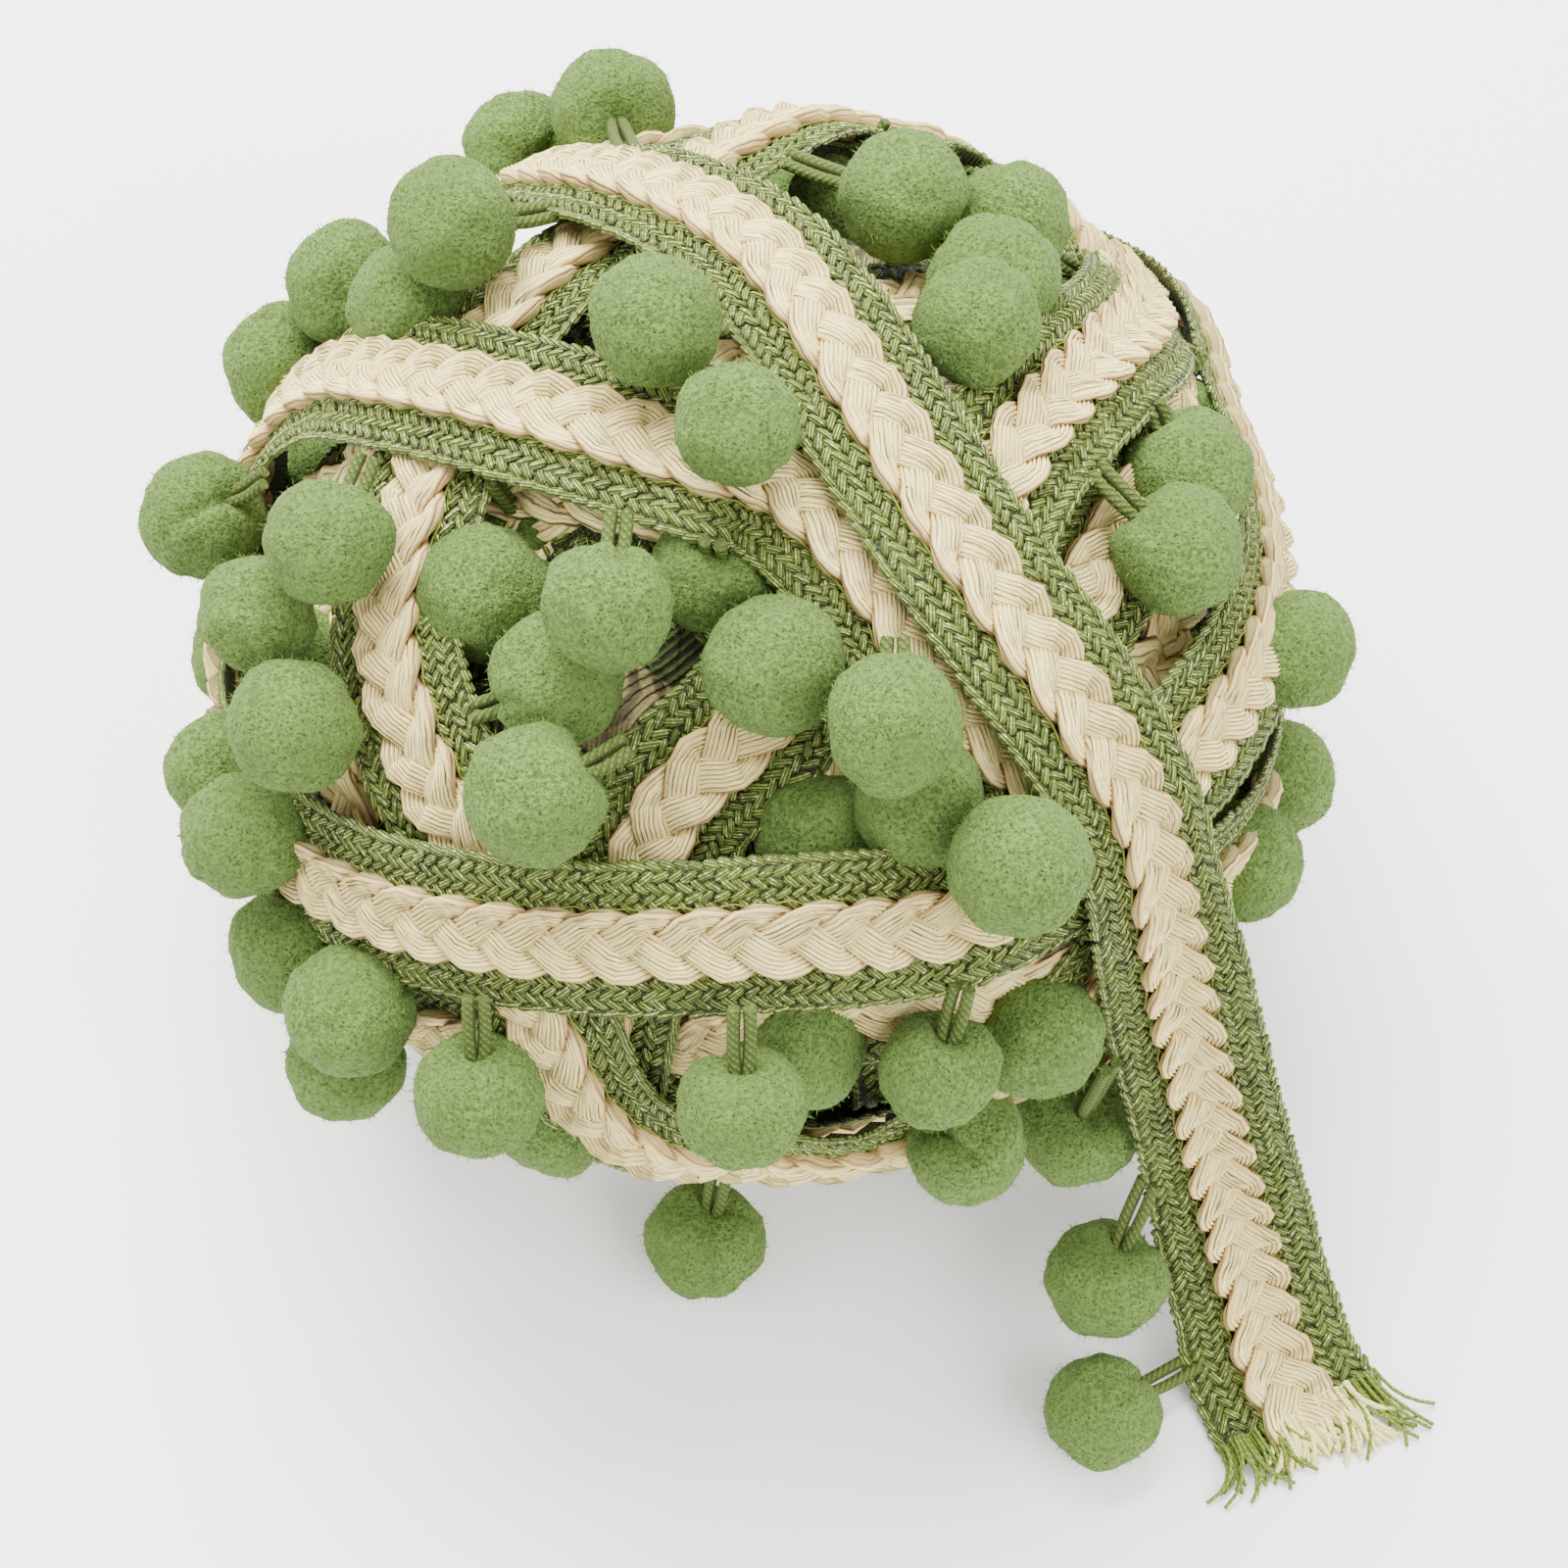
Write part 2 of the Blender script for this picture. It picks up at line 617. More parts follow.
class Wire:
    """A value in a node tree, with plain arithmetic for numbers."""

    def __init__(self, tree, socket):
        self.tree = tree
        self.socket = socket

    def maths(self, operation, second=0.0, swapped=False):
        values = (second, self) if swapped else (self, second)
        return wire(self.tree, "ShaderNodeMath", dict(enumerate(values)), operation=operation)

    def __add__(self, other):
        return self.maths("ADD", other)

    def __sub__(self, other):
        return self.maths("SUBTRACT", other)

    def __rsub__(self, other):
        return self.maths("SUBTRACT", other, swapped=True)

    def __mul__(self, other):
        return self.maths("MULTIPLY", other)

    def __truediv__(self, other):
        return self.maths("DIVIDE", other)

    def __mod__(self, other):
        return self.maths("MODULO", other)

    def __pow__(self, other):
        return self.maths("POWER", other)

    def __abs__(self):
        return self.maths("ABSOLUTE")

    def sine(self):
        return self.maths("SINE")


def feed(tree, socket, value):
    """Give a socket a wire, another socket or a plain value."""
    if isinstance(value, Wire):
        value = value.socket
    if isinstance(value, bpy.types.NodeSocket):
        tree.links.new(value, socket)
    else:
        socket.default_value = value


def node(tree, kind, inputs=None, **settings):
    """A node with its settings and inputs."""
    made = tree.nodes.new(kind)
    for key, value in settings.items():
        setattr(made, key, value)
    for key, value in (inputs or {}).items():
        feed(tree, made.inputs[key], value)
    return made


def wire(tree, kind, inputs=None, output=0, **settings):
    """One output of a new node."""
    return Wire(tree, node(tree, kind, inputs, **settings).outputs[output])


def vectors(tree, operation, first, second=(0.0, 0.0, 0.0)):
    """Vector arithmetic."""
    output = "Value" if operation in ("DOT_PRODUCT", "LENGTH") else "Vector"
    return wire(tree, "ShaderNodeVectorMath", {0: first, 1: second}, output, operation=operation)


def scaled(tree, vector, factor):
    return wire(tree, "ShaderNodeVectorMath", {0: vector, "Scale": factor}, "Vector", operation="SCALE")


def combined(tree, x=0.0, y=0.0, z=0.0):
    return wire(tree, "ShaderNodeCombineXYZ", {"X": x, "Y": y, "Z": z})


def split(tree, vector):
    """The three numbers of a vector."""
    part = node(tree, "ShaderNodeSeparateXYZ", {0: vector})
    return [Wire(tree, part.outputs[axis]) for axis in "XYZ"]


def ranged(tree, value, low, high, to_low=0.0, to_high=1.0):
    """A value's way from low to high, with soft ends, given another range."""
    return wire(tree, "ShaderNodeMapRange", {
        "Value": value, "From Min": low, "From Max": high, "To Min": to_low, "To Max": to_high},
        interpolation_type="SMOOTHSTEP")


def noise(tree, where, scale, detail=2.0):
    return wire(tree, "ShaderNodeTexNoise", {"Vector": where, "Scale": scale, "Detail": detail})


def random_value(tree, low, high, seed, salt):
    """A random number for each element, from a seed and a salt of its own."""
    return wire(tree, "FunctionNodeRandomValue", {2: low, 3: high, "Seed": seed + float(salt)}, 1,
                data_type="FLOAT")


def position(tree):
    return wire(tree, "GeometryNodeInputPosition")


def shape_of(tree, item, whole=False):
    """The geometry of an object, as one instance if whole."""
    return wire(tree, "GeometryNodeObjectInfo", {"Object": item, "As Instance": whole}, "Geometry",
                transform_space="ORIGINAL")


def stored(tree, geometry, name, value, kind="FLOAT", domain="POINT"):
    """Geometry with a named attribute."""
    return wire(tree, "GeometryNodeStoreNamedAttribute",
                {"Name": name, "Geometry": geometry, "Value": value}, data_type=kind, domain=domain)


def read(tree, name, kind="FLOAT_VECTOR"):
    """A named attribute."""
    return wire(tree, "GeometryNodeInputNamedAttribute", {"Name": name}, "Attribute", data_type=kind)


def moved(tree, geometry, where):
    return wire(tree, "GeometryNodeSetPosition", {"Geometry": geometry, "Position": where})


def straight_line(tree, length, count):
    """A line of points along X."""
    straight = wire(tree, "GeometryNodeCurvePrimitiveLine", {"End": combined(tree, length)})
    return wire(tree, "GeometryNodeResampleCurve", {"Curve": straight, "Count": count})


def ring(tree, sides, radius):
    return wire(tree, "GeometryNodeCurvePrimitiveCircle", {"Resolution": sides, "Radius": radius})


def swept(tree, curve, profile):
    """A profile carried along curves, with closed ends."""
    return wire(tree, "GeometryNodeCurveToMesh", {
        "Curve": curve, "Profile Curve": profile, "Fill Caps": True})


def realized(tree, geometry):
    return wire(tree, "GeometryNodeRealizeInstances", {"Geometry": geometry})


def start_tree(name, sockets):
    """A geometry tree, and its named inputs: those given, then a material."""
    tree = bpy.data.node_groups.new(name, "GeometryNodeTree")
    tree.is_modifier = True
    for way in ("INPUT", "OUTPUT"):
        tree.interface.new_socket("Geometry", in_out=way, socket_type="NodeSocketGeometry")
    rows = [*sockets, ("Material", "Material", None)]
    for key, kind, default in rows:
        made = tree.interface.new_socket(key, in_out="INPUT", socket_type="NodeSocket" + kind)
        if default is not None:
            made.default_value = default
    entry = tree.nodes.new("NodeGroupInput")
    return tree, {key: Wire(tree, entry.outputs[key]) for key, _, _ in rows}


def end_tree(tree, geometry, material):
    """Close a tree with Realize Instances and Set Material."""
    smooth = wire(tree, "GeometryNodeSetShadeSmooth", {"Geometry": realized(tree, geometry)})
    painted = wire(tree, "GeometryNodeSetMaterial", {"Geometry": smooth, "Material": material})
    feed(tree, tree.nodes.new("NodeGroupOutput").inputs["Geometry"], painted)
    return tree


def enabled(sockets, name):
    """The socket of a name that is in use."""
    return next(socket for socket in sockets if socket.name == name and socket.enabled)


def bend_on_path(tree, geometry, path):
    """Lay straight work, made along X with +Z outwards, on a path."""
    curve = wire(tree, "GeometryNodeMeshToCurve", {"Mesh": shape_of(tree, path)})
    x, y, z = split(tree, position(tree))
    sample = node(tree, "GeometryNodeSampleCurve", {"Curves": curve}, mode="LENGTH",
                  data_type="FLOAT_VECTOR")
    feed(tree, enabled(sample.inputs, "Value"), read(tree, "outward"))
    feed(tree, enabled(sample.inputs, "Length"), x)
    carried = enabled(sample.outputs, "Value")
    tangent = vectors(tree, "NORMALIZE", sample.outputs["Tangent"])
    lean = scaled(tree, tangent, vectors(tree, "DOT_PRODUCT", carried, tangent))
    up = vectors(tree, "NORMALIZE", vectors(tree, "SUBTRACT", carried, lean))
    across = vectors(tree, "CROSS_PRODUCT", up, tangent)
    sideways = y * vectors(tree, "LENGTH", carried)
    place = vectors(tree, "ADD", sample.outputs["Position"], scaled(tree, across, sideways))
    return moved(tree, geometry, vectors(tree, "ADD", place, scaled(tree, up, z)))


def stitch_tree():
    """Columns of slanted stitches along a path, one braid of the trim."""
    tree, given = start_tree("braid_stitches", [
        ("Path", "Object", None), ("Stitch", "Object", None), ("Length", "Float", 0.1),
        ("Pitch", "Float", 0.002), ("Columns", "Int", 4), ("Column Spacing", "Float", 0.0015),
        ("Inner Edge", "Float", 0.004), ("Side", "Float", 1.0), ("Slant", "Float", 0.6),
        ("Height", "Float", 0.0003), ("Seed", "Int", 1)])
    columns = given["Columns"]
    side = given["Side"]
    seed = given["Seed"]
    rows = (given["Length"] / given["Pitch"]).maths("FLOOR")
    index = wire(tree, "GeometryNodeInputIndex")
    row = ((index + 0.5) / columns).maths("FLOOR")
    column = index - row * columns
    odd = column % 2.0
    outer = column / (columns - 1.0)
    x = (row + (odd * 0.5 + random_value(tree, 0.12, 0.38, seed, 1))) * given["Pitch"]
    y = given["Inner Edge"] + column * given["Column Spacing"]
    y = (y + random_value(tree, -STITCH_STRAY, STITCH_STRAY, seed, 2)) * side
    z = given["Height"] + random_value(tree, -STITCH_STRAY, STITCH_STRAY, seed, 3)
    z = z + outer ** 5.0 * -EDGE_DROP
    points = wire(tree, "GeometryNodePoints", {
        "Count": rows * columns, "Position": combined(tree, x, y, z)})
    turn = (odd * 2.0 - 1.0) * side * given["Slant"] * (1.0 - outer ** 8.0 * 0.55)
    turn = turn + random_value(tree, -0.13, 0.13, seed, 4)
    roll = outer ** 5.0 * -0.5 * side
    placed = wire(tree, "GeometryNodeInstanceOnPoints", {
        "Points": points, "Instance": shape_of(tree, given["Stitch"], True),
        "Rotation": combined(tree, roll, 0.0, turn),
        "Scale": combined(tree, random_value(tree, 0.9, 1.12, seed, 5),
                          random_value(tree, 0.88, 1.12, seed, 6),
                          random_value(tree, 0.85, 1.15, seed, 7))})
    tinted = stored(tree, placed, "tint", random_value(tree, 0.0, 1.0, seed, 8), domain="INSTANCE")
    bent = bend_on_path(tree, realized(tree, tinted), given["Path"])
    return end_tree(tree, bent, given["Material"])


def plait_tree():
    """Three flattened strands plaited along a path."""
    tree, given = start_tree("cotton_plait", [
        ("Path", "Object", None), ("Profile", "Object", None), ("Length", "Float", 0.1),
        ("Pitch", "Float", 0.0072), ("Sweep", "Float", 0.003), ("Lift", "Float", 0.0007),
        ("Height", "Float", 0.001), ("Step", "Float", 0.0012), ("Pinch", "Float", 0.3),
        ("Roll", "Float", 0.5)])
    yarn = wire(tree, "GeometryNodeInputIndex") * 0.5
    profile = stored(tree, shape_of(tree, given["Profile"]), "across", yarn)
    strands = node(tree, "GeometryNodeJoinGeometry")
    for strand in range(3):
        x = split(tree, position(tree))[0]
        waver = wire(tree, "ShaderNodeTexNoise", {"W": x * 90.0, "Scale": 1.0}, noise_dimensions="1D")
        turns = x / (given["Pitch"] * 3.0) + (waver - 0.5) * 0.10
        angle = (turns - strand / 3.0) * (2 * math.pi)
        swing = angle.sine() - (angle * 3.0).sine() * TURN_SHARPNESS
        rise = (angle * 2.0).sine()
        where = combined(tree, x, swing * given["Sweep"], given["Height"] + rise * given["Lift"])
        line = straight_line(tree, given["Length"], given["Length"] / given["Step"])
        flat = wire(tree, "GeometryNodeSetCurveNormal", {"Curve": moved(tree, line, where)}, mode="Z_UP")
        outwards = abs(swing) ** 3.0
        sized = wire(tree, "GeometryNodeSetCurveRadius", {
            "Curve": flat, "Radius": 1.0 - outwards * given["Pinch"]})
        lean = outwards * given["Roll"] * swing.maths("SIGN")
        tilted = wire(tree, "GeometryNodeSetCurveTilt", {"Curve": sized, "Tilt": lean})
        travel = wire(tree, "GeometryNodeSplineParameter", output="Length") + float(strand)
        named = stored(tree, stored(tree, tilted, "along", travel), "over", rise)
        feed(tree, strands.inputs[0], swept(tree, named, profile))
    bent = bend_on_path(tree, strands.outputs[0], given["Path"])
    return end_tree(tree, bent, given["Material"])


def even_ball(tree, detail):
    """A ball with even faces, made from a cube's grid; it keeps its unit vectors as felt."""
    cube = wire(tree, "GeometryNodeMeshCube", {
        "Size": (1.0, 1.0, 1.0), "Vertices X": detail, "Vertices Y": detail,
        "Vertices Z": detail}, "Mesh")
    grid = [(part * (math.pi / 2)).maths("TANGENT") for part in split(tree, position(tree))]
    ball = moved(tree, cube, vectors(tree, "NORMALIZE", combined(tree, *grid)))
    return stored(tree, ball, "felt", position(tree), "FLOAT_VECTOR")


def pompom_tree():
    """Felted pompoms on points: a lumpy ball with a dimple where its loop goes in."""
    tree, given = start_tree("felt_pompoms", [
        ("Places", "Object", None), ("Lumpiness", "Float", 0.1), ("Dimple", "Float", 0.3),
        ("Crease", "Float", 0.1), ("Detail", "Int", 15), ("Seed", "Int", 1)])
    seed = given["Seed"]
    ball = even_ball(tree, given["Detail"])
    aligned = wire(tree, "FunctionNodeAlignRotationToVector", {"Vector": read(tree, "way")}, axis="Z")
    spin = combined(tree, 0.0, 0.0, random_value(tree, -math.pi, math.pi, seed, 1))
    spun = wire(tree, "FunctionNodeRotateRotation", {"Rotation": aligned, "Rotate By": spin},
                rotation_space="LOCAL")
    squash = combined(tree, random_value(tree, 0.96, 1.06, seed, 2),
                      random_value(tree, 0.94, 1.02, seed, 3), random_value(tree, 0.95, 1.03, seed, 4))
    placed = wire(tree, "GeometryNodeInstanceOnPoints", {
        "Points": shape_of(tree, given["Places"]), "Instance": ball, "Rotation": spun,
        "Scale": scaled(tree, squash, read(tree, "size", "FLOAT"))})
    tinted = stored(tree, placed, "tint", random_value(tree, 0.0, 1.0, seed, 5), domain="INSTANCE")
    felt = read(tree, "felt")
    tint = read(tree, "tint", "FLOAT")
    shifted = vectors(tree, "ADD", felt, combined(tree, tint * 37.0))
    lump = (noise(tree, shifted, 1.5, 1.0) - 0.5) * given["Lumpiness"] * 2.0
    grain = (noise(tree, shifted, 6.5, 2.0) - 0.5) * 0.06
    aside, ahead, up = split(tree, felt)
    dimple = ((up - 1.0) * 11.0).maths("EXPONENT") * given["Dimple"]
    fold = (aside * aside * -90.0).maths("EXPONENT")
    fold = fold * ranged(tree, up, -0.1, 0.7) * ranged(tree, ahead, -0.1, 0.3)
    fold = fold * (given["Crease"] * (tint + 0.3))
    push = lump + grain - (dimple + fold)
    normal = wire(tree, "GeometryNodeInputNormal")
    pushed = wire(tree, "GeometryNodeSetPosition", {
        "Geometry": realized(tree, tinted), "Offset": scaled(tree, normal, push * POMPOM_RADIUS)})
    return end_tree(tree, pushed, given["Material"])


def fuzz_tree():
    """Short loose fibres standing off a felted surface."""
    tree, given = start_tree("felt_fuzz", [
        ("Felt", "Object", None), ("Fibre", "Object", None), ("Density", "Float", 400000.0),
        ("Length", "Float", 0.001), ("Seed", "Int", 1)])
    seed = given["Seed"]
    roots = node(tree, "GeometryNodeDistributePointsOnFaces", {
        "Mesh": shape_of(tree, given["Felt"]), "Density": given["Density"], "Seed": seed})
    lean = combined(tree, *(random_value(tree, -1.0, 1.0, seed, salt) for salt in (1, 2, 3)))
    way = vectors(tree, "ADD", roots.outputs["Normal"], scaled(tree, lean, 0.75))
    aligned = wire(tree, "FunctionNodeAlignRotationToVector", {"Vector": way}, axis="Z")
    tall = given["Length"] * random_value(tree, 0.35, 1.0, seed, 4) / MM
    placed = wire(tree, "GeometryNodeInstanceOnPoints", {
        "Points": roots.outputs["Points"], "Instance": shape_of(tree, given["Fibre"], True),
        "Rotation": aligned, "Scale": combined(tree, 1.0, 1.0, tall)})
    return end_tree(tree, placed, given["Material"])


def cord_tree():
    """Round cord along the lines of a curve object."""
    tree, given = start_tree("looped_cord", [
        ("Lines", "Object", None), ("Radius", "Float", 0.0008), ("Sides", "Int", 8),
        ("Taper", "Float", 0.0)])
    share = wire(tree, "GeometryNodeSplineParameter")
    sized = wire(tree, "GeometryNodeSetCurveRadius", {
        "Curve": shape_of(tree, given["Lines"]), "Radius": 1.0 - share * given["Taper"]})
    named = stored(tree, sized, "along", wire(tree, "GeometryNodeSplineParameter", output="Length"))
    round_it = stored(tree, ring(tree, given["Sides"], given["Radius"]), "across",
                      wire(tree, "GeometryNodeSplineParameter"))
    return end_tree(tree, swept(tree, named, round_it), given["Material"])


def binding_tree():
    """A fine thread that wanders in and out beside the plait's lobes, along a path."""
    tree, given = start_tree("binding_thread", [
        ("Path", "Object", None), ("Length", "Float", 0.1), ("Pitch", "Float", 0.007),
        ("Beside", "Float", 0.005), ("Side", "Float", 1.0), ("Height", "Float", 0.0012),
        ("Radius", "Float", 0.0002), ("Seed", "Int", 1)])
    line = straight_line(tree, given["Length"], given["Length"] / (given["Pitch"] * 0.25))
    x = split(tree, position(tree))[0]
    stray = random_value(tree, -THREAD_STRAY, THREAD_STRAY, given["Seed"], 1)
    weave = (x * (2 * math.pi) / given["Pitch"]).sine() * THREAD_STRAY
    y = (given["Beside"] + weave + stray) * given["Side"]
    where = combined(tree, x, y, given["Height"] + stray * 1.2)
    thread = swept(tree, moved(tree, line, where), ring(tree, 3, given["Radius"]))
    return end_tree(tree, bend_on_path(tree, thread, given["Path"]), given["Material"])


# ---------------------------------------------------------------- materials

def start_material(name, colour, roughness, specular=0.5):
    """A material, its tree and its shader."""
    material = bpy.data.materials.new(name)
    material.use_nodes = True
    shader = material.node_tree.nodes["Principled BSDF"]
    shader.inputs["Base Color"].default_value = (*colour, 1.0)
    shader.inputs["Roughness"].default_value = roughness
    shader.inputs["Specular IOR Level"].default_value = specular
    return material, material.node_tree, shader


def shade(colour, factor):
    return tuple(min(channel * factor, 1.0) for channel in colour)


def mixed_colour(tree, factor, first, second):
    """A mix of two colours, which are wires or plain triples."""
    made = node(tree, "ShaderNodeMix", {"Factor": factor}, data_type="RGBA")
    for key, value in (("A", first), ("B", second)):
        plain = value if isinstance(value, Wire) else (*value, 1.0)
        feed(tree, enabled(made.inputs, key), plain)
    return Wire(tree, enabled(made.outputs, "Result"))


def attribute(tree, name):
    return wire(tree, "ShaderNodeAttribute", output="Fac", attribute_name=name)


def object_place(tree):
    return wire(tree, "ShaderNodeTexCoord", output="Object")


def object_noise(tree, scale, detail=2.0):
    return noise(tree, object_place(tree), scale, detail)


def finish_material(tree, shader, colour, relief, depth):
    """Give a shader its colour and a relief."""
    feed(tree, shader.inputs["Base Color"], colour)
    feed(tree, shader.inputs["Normal"], wire(tree, "ShaderNodeBump", {
        "Height": relief, "Distance": depth, "Strength": 1.0}))


def yarn_material(colour):
    """Plied yarn of the braid stitches; plies follow each stitch's own map."""
    material, tree, shader = start_material("braid_yarn_stitched", colour, 0.55, 0.35)
    along, across, _ = split(tree, wire(tree, "ShaderNodeUVMap", uv_map="UVMap"))
    thread = abs(((along * 0.7 + across * 3.0) * math.pi).sine())
    twist = ((along * 5.5 + across * 7.0) * (2 * math.pi)).sine()
    crest = ranged(tree, thread, 0.15, 0.85) * ranged(tree, twist, -2.2, 0.5)
    fibre = object_noise(tree, 1700.0)
    body = mixed_colour(tree, attribute(tree, "tint"), colour, shade(colour, 1.95))
    grooved = mixed_colour(tree, crest, shade(colour, 0.09), body)
    ends = ranged(tree, abs(along - 0.5), 0.30, 0.48, 0.0, 0.85)
    tucked = mixed_colour(tree, ends, grooved, shade(colour, 0.12))
    broad = ranged(tree, object_noise(tree, 60.0), 0.35, 0.65, 0.0, 0.35)
    aged = mixed_colour(tree, broad, tucked, shade(colour, 0.75))
    tip = ranged(tree, fibre, 0.52, 0.66) * ranged(tree, crest, 0.3, 0.8, 0.0, 0.85)
    feed(tree, shader.inputs["Roughness"], ranged(tree, fibre, 0.3, 0.7, 0.45, 0.70))
    finish_material(tree, shader, mixed_colour(tree, tip, aged, YARN_TIP), crest + fibre * 0.5, 0.22 * MM)
    return material


def ground_material(colour):
    """Woven ground tape under the stitches; the weave follows the tape's own map."""
    material, tree, shader = start_material("braid_yarn_ground", shade(colour, 0.3), 0.85)
    along, across, _ = split(tree, wire(tree, "ShaderNodeUVMap", uv_map="UVMap"))
    warp = (along * (2 * math.pi / WARP_PITCH)).sine()
    weft = (across * (2 * math.pi / WEFT_PITCH)).sine()
    level = ranged(tree, warp * weft, -0.8, 0.8) * (object_noise(tree, 900.0) + 0.3)
    final = mixed_colour(tree, level, shade(colour, 0.05), shade(colour, 0.36))
    finish_material(tree, shader, final, level, 0.3 * MM)
    return material


def cotton_material(colour):
    """Soft cotton strands with their yarns, which wander a little, along the strand."""
    material, tree, shader = start_material("plait_cotton", colour, 0.85, 0.15)
    across = attribute(tree, "across")
    along = attribute(tree, "along")

    def strand_noise(lengthwise, crosswise, detail):
        return noise(tree, combined(tree, along * lengthwise, across * crosswise), 1.0, detail)

    lines = across + (strand_noise(170.0, 0.5, 2.0) - 0.5) * 1.3
    comb = abs((lines * math.pi).sine())
    fine = abs((lines * (2.3 * math.pi)).sine())
    depth = ranged(tree, strand_noise(260.0, 0.9, 1.0), 0.35, 0.65, 0.60, 1.0)
    groove = 1.0 - ranged(tree, comb, 0.48, 0.0) * depth - ranged(tree, fine, 0.30, 0.0, 0.0, 0.30)
    fibre = strand_noise(700.0, 7.0, 3.0)
    husk = wire(tree, "ShaderNodeTexVoronoi", {"Vector": object_place(tree), "Scale": 190.0}, "Distance")
    edge = abs(across / (STRAND_YARNS / 2) - 1.0)
    layers = [
        (ranged(tree, object_noise(tree, 160.0), 0.45, 0.75, 0.0, 0.25), COTTON_STAIN),
        (ranged(tree, fibre, 0.45, 0.70, 0.0, 0.6), COTTON_PALE),
        (ranged(tree, attribute(tree, "over"), -0.45, -0.90, 0.0, 0.85), COTTON_UNDER),
        (ranged(tree, edge, 0.72, 1.0, 0.0, 0.8), COTTON_EDGE),
        (ranged(tree, husk, 0.055, 0.025), HUSK_SPECK)]
    final = mixed_colour(tree, groove, COTTON_GROOVE, colour)
    for share, layer in layers:
        final = mixed_colour(tree, share, final, layer)
    finish_material(tree, shader, final, groove + fibre * 0.5, 0.46 * MM)
    return material


def felt_material(colour):
    """Felted wool: fine curled fibres with small pits."""
    material, tree, shader = start_material("pompom_felted", colour, 0.95, 0.15)
    shader.inputs["Sheen Weight"].default_value = 0.10
    shader.inputs["Sheen Roughness"].default_value = 0.5
    shader.inputs["Sheen Tint"].default_value = (*FELT_SHEEN, 1.0)
    fine = object_noise(tree, 2600.0, 3.0)
    curl = object_noise(tree, 1500.0, 3.0)
    patch = ranged(tree, object_noise(tree, 110.0), 0.35, 0.65, 0.0, 0.45)
    body = mixed_colour(tree, ranged(tree, curl, 0.34, 0.66), shade(colour, 0.66), shade(colour, 1.34))
    body = mixed_colour(tree, patch, body, shade(colour, 0.84))
    pit = ranged(tree, fine, 0.44, 0.34, 0.0, 0.95)
    finish_material(tree, shader, mixed_colour(tree, pit, body, shade(colour, 0.28)), fine + curl, 0.45 * MM)
    return material


def fibre_material(colour):
    """The loose fibres of the felt, a little paler than the felt."""
    material, tree, shader = start_material("pompom_fibre", shade(colour, 1.3), 1.0, 0.05)
    level = ranged(tree, object_noise(tree, 300.0), 0.3, 0.7)
    feed(tree, shader.inputs["Base Color"],
         mixed_colour(tree, level, shade(colour, 1.1), shade(colour, 1.6)))
    return material


def cord_material(name, colour, plies, lay, deep):
    """Braided or twisted cord: plies wind round it along its length, with deep gaps."""
    material, tree, shader = start_material(name, colour, 0.8, 0.25)
    along = attribute(tree, "along") * lay
    across = attribute(tree, "across") * plies
    ply = ranged(tree, ((along + across) * (2 * math.pi)).sine(), -0.8, 0.8)
    other = ranged(tree, ((along - across) * (2 * math.pi)).sine(), -0.8, 0.8)
    level = ply * (other * 0.6 + 0.4) * 0.75 + object_noise(tree, 1300.0) * 0.25
    braided = mixed_colour(tree, level, shade(colour, deep), shade(colour, 1.25))
    speck = ranged(tree, object_noise(tree, 2100.0), 0.40, 0.32, 0.0, 0.8)
    finish_material(tree, shader, mixed_colour(tree, speck, braided, shade(colour, deep)), level, 0.25 * MM)
    return material


def core_material(green, cream):
    """Inner turns seen through the gaps: bands of braid and plait wound about one axis."""
    material, tree, shader = start_material("braid_yarn_inner", green, 0.85)
    spot = vectors(tree, "SUBTRACT", object_place(tree), tuple(BALL_CENTRE))
    side, other, axis = (vectors(tree, "DOT_PRODUCT", spot, tuple(row)) for row in CORE_AXES)
    angle = side.maths("ARCTAN2", other)
    across = abs((axis / CORE_BAND).maths("FRACT") - 0.5)
    stitch = ranged(tree, (angle * CORE_STITCHES + across * 60.0).sine(), -0.7, 0.7)
    lobe = ranged(tree, (angle * CORE_LOBES - across * 22.0).sine(), -0.9, 0.2)
    fibre = object_noise(tree, 1200.0)
    leafy = mixed_colour(tree, stitch * fibre, shade(green, 0.08), shade(green, 0.75))
    soft = mixed_colour(tree, lobe * fibre, shade(cream, 0.10), shade(cream, 0.5))
    final = mixed_colour(tree, ranged(tree, across, 0.23, 0.20), leafy, soft)
    finish_material(tree, shader, final, stitch + lobe + fibre, 0.5 * MM)
    return material


def floor_material():
    """Pale, slightly uneven table top."""
    material, tree, shader = start_material("table_top", (0.93, 0.93, 0.93), 0.7)
    level = ranged(tree, object_noise(tree, 6.0), 0.3, 0.7)
    feed(tree, shader.inputs["Base Color"],
         mixed_colour(tree, level, (0.925, 0.925, 0.925), (0.935, 0.935, 0.935)))
    return material


# ---------------------------------------------------------------- parts of the trim

